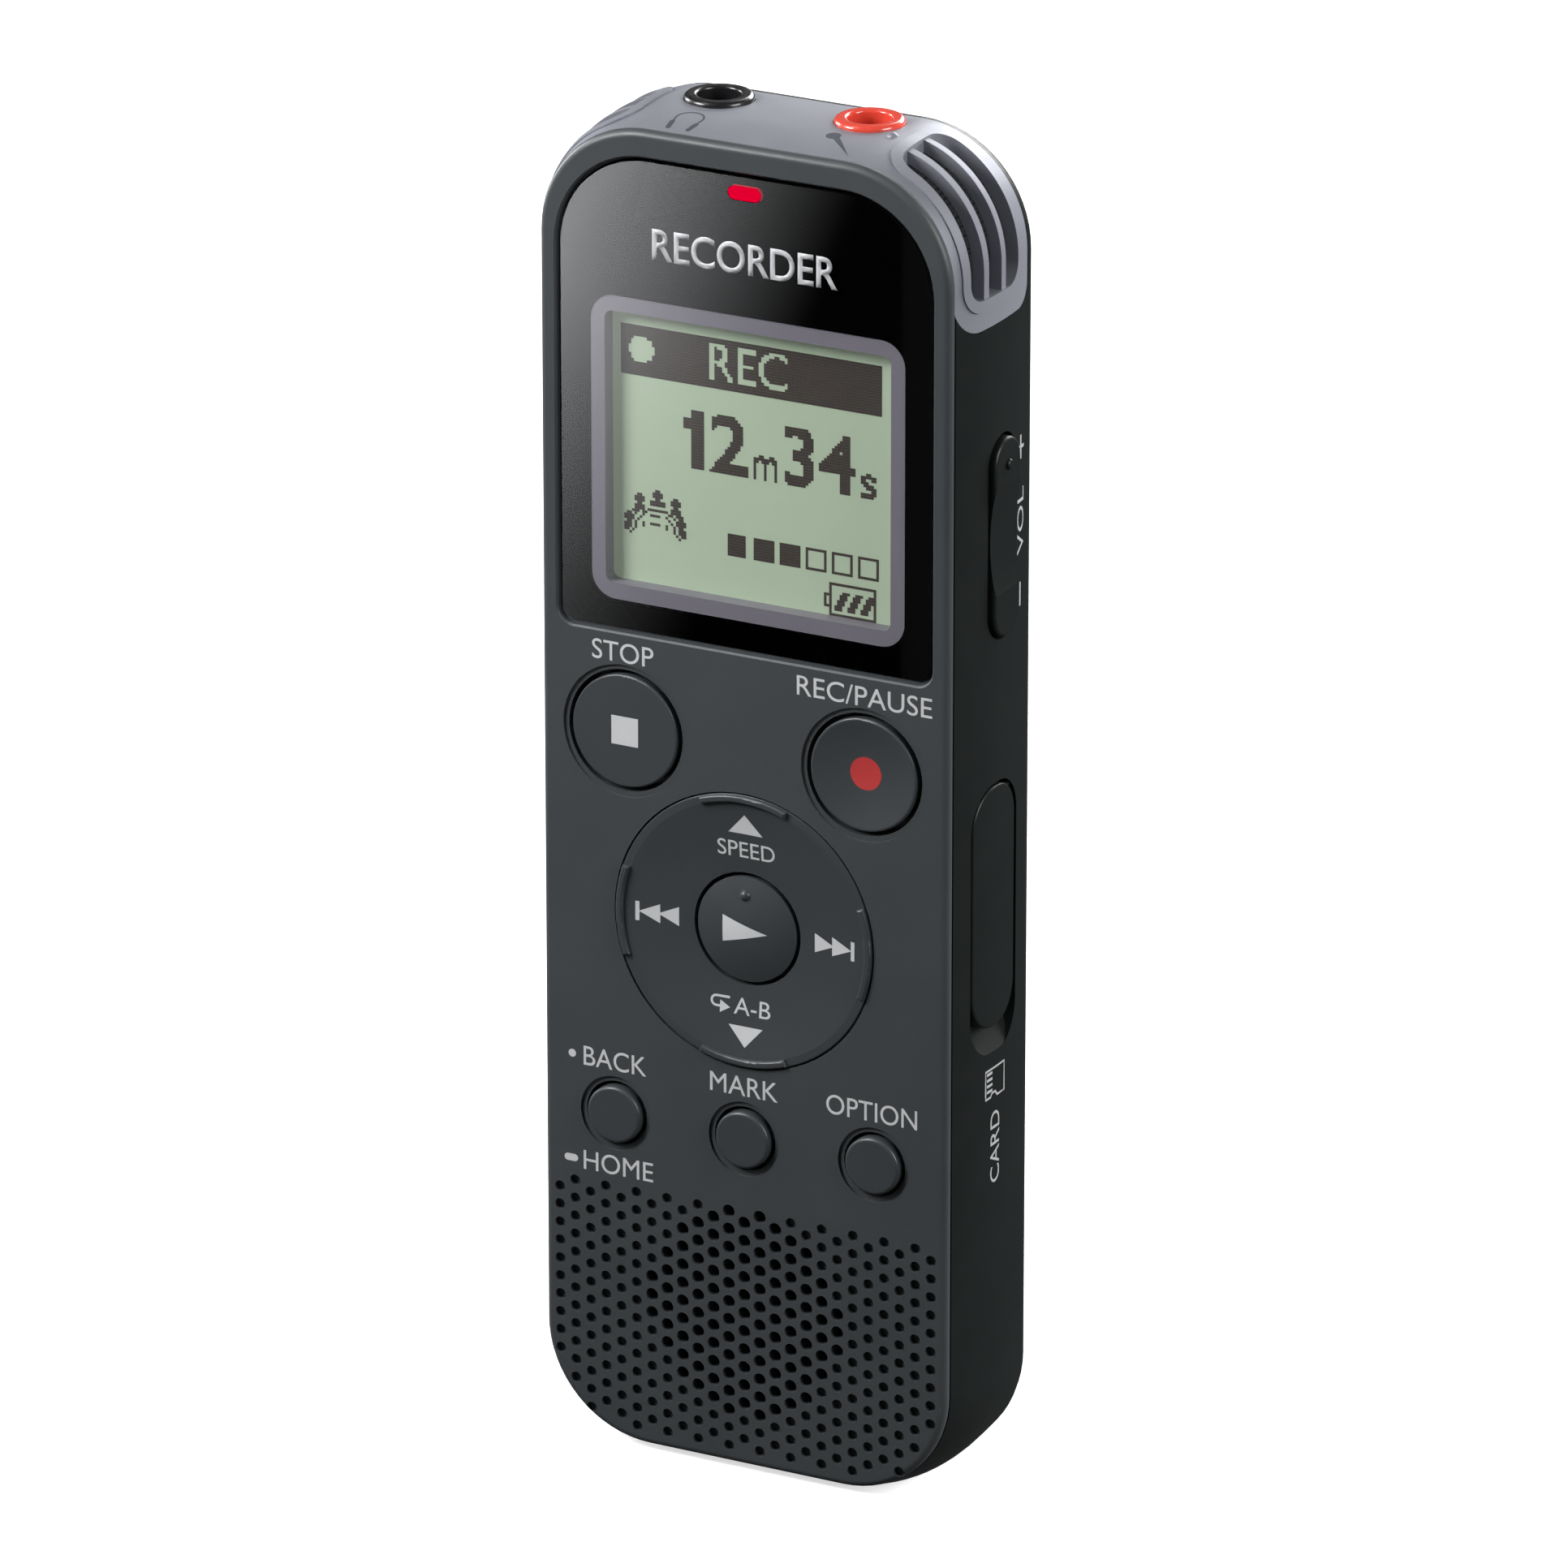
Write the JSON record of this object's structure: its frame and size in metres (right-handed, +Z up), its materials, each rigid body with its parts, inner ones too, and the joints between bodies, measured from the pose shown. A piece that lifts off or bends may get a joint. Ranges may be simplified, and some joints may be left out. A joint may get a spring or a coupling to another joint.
{
  "type": "portable field recorder",
  "caption": "Upright pocket sound recorder with display, direction pad, key row, speaker grille, twin corner microphones, headphone and microphone sockets and a slide-out plug.",
  "frame": {"origin": "middle of the flat base that the recorder stands on, at half its width and half its depth", "axes": "+Z up along the length to the microphone end, front face with the display towards -Y, +X to the right seen from the front"},
  "size_m": [0.0394, 0.0198, 0.1145],
  "materials": {
    "front_shell": "fine textured charcoal moulding",
    "body_shell": "fine textured dark charcoal moulding",
    "silver_trim": "satin silver paint",
    "clear_window": "polished clear",
    "black_print": "gloss black print",
    "lavender_frame": "smooth lavender grey",
    "display_panel": "green display glass",
    "white_plastic": "plain white",
    "lamp_red": "red light pipe",
    "key_plastic": "fine matte charcoal",
    "rubber": "matte",
    "steel": "plain",
    "board": "green solder mask",
    "black_plastic": "plain black",
    "gloss_black": "gloss black",
    "gloss_red": "gloss red",
    "magnet": "plain",
    "cloth": "fine black mesh",
    "cell": "printed sleeve",
    "mic_can": "plain"
  },
  "bodies": {
    "housing": {"front_cover": "front_shell", "middle_frame": "body_shell", "rear_cover": "body_shell", "top_trim": "silver_trim", "display_window": "clear_window", "window_mask": "black_print", "display_frame": "lavender_frame", "display_panel": "display_panel", "display_backlight": "white_plastic", "record_lamp": "lamp_red", "key_mat": "rubber", "snap_domes": "steel", "main_board": "board", "board_chips": "black_plastic", "speaker_cloth": "cloth", "speaker_gasket": "rubber", "speaker_frame": "black_plastic", "speaker_cone": "black_plastic", "speaker_magnet": "magnet", "battery_tray": "black_plastic", "battery_contacts": "steel", "battery_springs": "steel", "left_battery_cell": "cell", "right_battery_cell": "cell", "volume_switches": "black_plastic", "card_socket": "steel", "hold_switch": "black_plastic", "left_grille_mesh": "cloth", "right_grille_mesh": "cloth", "left_microphone": "mic_can", "right_microphone": "mic_can", "left_microphone_boot": "rubber", "right_microphone_boot": "rubber", "headphone_socket": "black_plastic", "microphone_socket": "black_plastic", "headphone_ring": "gloss_black", "microphone_ring": "gloss_red", "door_pins": "steel", "case_screws": "steel"},
    "stop_button": {"stop_button": "key_plastic"},
    "record_button": {"record_button": "key_plastic"},
    "play_button": {"play_button": "key_plastic"},
    "back_button": {"back_button": "key_plastic"},
    "mark_button": {"mark_button": "key_plastic"},
    "option_button": {"option_button": "key_plastic"},
    "ring_gimbal": {"ring_gimbal": "black_plastic"},
    "control_ring": {"control_ring": "key_plastic"},
    "volume_rocker": {"volume_rocker": "body_shell"},
    "card_cover": {"card_cover": "body_shell"},
    "memory_card": {"memory_card": "black_plastic"},
    "hold_slider": {"hold_slider": "body_shell"},
    "plug": {"plug_shell": "steel", "plug_tongue": "white_plastic", "plug_carriage": "black_plastic", "plug_lever": "body_shell"},
    "battery_door": {"battery_door": "body_shell"}
  },
  "joints": [
    {"name": "stop_press", "type": "slide", "parent": "housing", "child": "stop_button", "axis": [0, 1, 0], "range_m": [0, 0.0003], "stiffness_N_per_m": 3000, "springref_m": -0.0002},
    {"name": "record_press", "type": "slide", "parent": "housing", "child": "record_button", "axis": [0, 1, 0], "range_m": [0, 0.0003], "stiffness_N_per_m": 3000, "springref_m": -0.0002},
    {"name": "play_press", "type": "slide", "parent": "housing", "child": "play_button", "axis": [0, 1, 0], "range_m": [0, 0.0003], "stiffness_N_per_m": 3000, "springref_m": -0.0002},
    {"name": "back_press", "type": "slide", "parent": "housing", "child": "back_button", "axis": [0, 1, 0], "range_m": [0, 0.0003], "stiffness_N_per_m": 3000, "springref_m": -0.0002},
    {"name": "mark_press", "type": "slide", "parent": "housing", "child": "mark_button", "axis": [0, 1, 0], "range_m": [0, 0.0003], "stiffness_N_per_m": 3000, "springref_m": -0.0002},
    {"name": "option_press", "type": "slide", "parent": "housing", "child": "option_button", "axis": [0, 1, 0], "range_m": [0, 0.0003], "stiffness_N_per_m": 3000, "springref_m": -0.0002},
    {"name": "ring_up_down", "type": "hinge", "parent": "housing", "child": "ring_gimbal", "pos_m": [0, -0.00845, 0.0473], "axis": [1, 0, 0], "range_deg": [-1.6, 1.6], "stiffness_Nm_per_rad": 0.3},
    {"name": "ring_left_right", "type": "hinge", "parent": "ring_gimbal", "child": "control_ring", "pos_m": [0, -0.00845, 0.0473], "axis": [0, 0, 1], "range_deg": [-1.6, 1.6], "stiffness_Nm_per_rad": 0.3},
    {"name": "volume_rock", "type": "hinge", "parent": "housing", "child": "volume_rocker", "pos_m": [0.017, -0.00175, 0.08175], "axis": [0, 1, 0], "range_deg": [-2.2, 2.2], "stiffness_Nm_per_rad": 0.15},
    {"name": "card_cover_hinge", "type": "hinge", "parent": "housing", "child": "card_cover", "pos_m": [0.01865, -0.0026, 0.0601], "axis": [0, -1, 0], "range_deg": [0, 75]},
    {"name": "card_push", "type": "slide", "parent": "housing", "child": "memory_card", "axis": [-1, 0, 0], "range_m": [0, 0.0006], "stiffness_N_per_m": 400, "springref_m": -0.0003},
    {"name": "hold_slide", "type": "slide", "parent": "housing", "child": "hold_slider", "axis": [0, 0, 1], "range_m": [-0.002, 0.002]},
    {"name": "plug_slide", "type": "slide", "parent": "housing", "child": "plug", "axis": [0, 0, -1], "range_m": [0, 0.015]},
    {"name": "battery_door_hinge", "type": "hinge", "parent": "housing", "child": "battery_door", "pos_m": [0, 0.00905, 0.0936], "axis": [1, 0, 0], "range_deg": [0, 95]}
  ]
}
